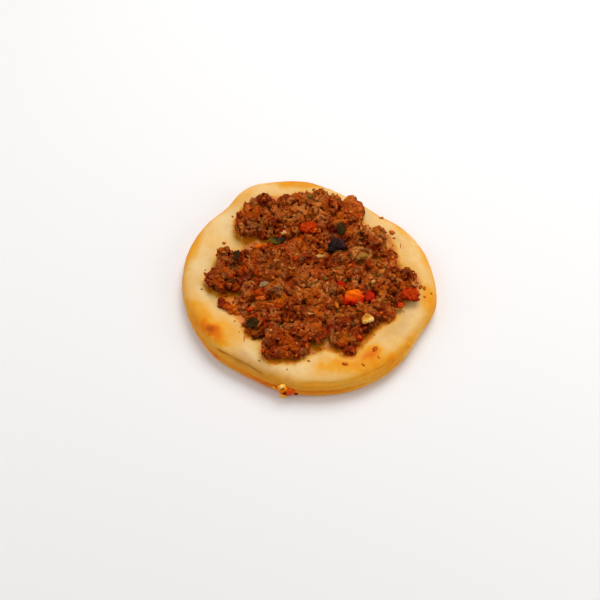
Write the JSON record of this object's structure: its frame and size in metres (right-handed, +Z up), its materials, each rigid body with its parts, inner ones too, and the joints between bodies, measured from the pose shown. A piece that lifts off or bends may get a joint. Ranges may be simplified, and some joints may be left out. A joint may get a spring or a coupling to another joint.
{
  "type": "lahmacun",
  "caption": "Small round baked flatbread with a puffy rim, topped with an uneven heap of spiced minced meat, tomato, pepper, olive, onion, garlic and herbs.",
  "frame": {"origin": "middle of the flat underside of the dough, where it rests", "axes": "+Z up through the topping, +X to the right and +Y to the back of the piece as it is served, with the standing chip of mince at the back right"},
  "size_m": [0.1105, 0.1094, 0.0176],
  "materials": {
    "dough": "baked dough, cream with golden and brown patches, soft satin",
    "minced_meat": "browned crumbly mince, reddish brown, oily",
    "tomato": "cooked tomato, orange red, moist",
    "red_pepper": "cooked red pepper, deep red, moist",
    "olive": "black olive, purple black, moist",
    "garlic": "roasted garlic, cream to amber, translucent",
    "green_pepper": "cooked green pepper, olive green, moist",
    "onion": "cooked onion, greyish white, translucent",
    "carrot": "cooked carrot, orange, moist",
    "herb": "dried dark green herb leaf, matt"
  },
  "bodies": {
    "root": {"dough": "dough", "minced_meat": "minced_meat", "stray_meat_crumb": "minced_meat", "crusty_mince_chip": "minced_meat", "tomato_piece": "tomato", "tomato_pulp_1": "tomato", "tomato_pulp_2": "tomato", "red_pepper_piece_1": "red_pepper", "red_pepper_piece_2": "red_pepper", "olive_piece": "olive", "garlic_piece": "garlic", "green_pepper_piece_1": "green_pepper", "green_pepper_piece_2": "green_pepper", "onion_piece_1": "onion", "onion_piece_2": "onion", "carrot_sliver": "carrot", "herb_leaf_1": "herb", "herb_leaf_2": "herb", "herb_leaf_3": "herb"}
  },
  "joints": []
}
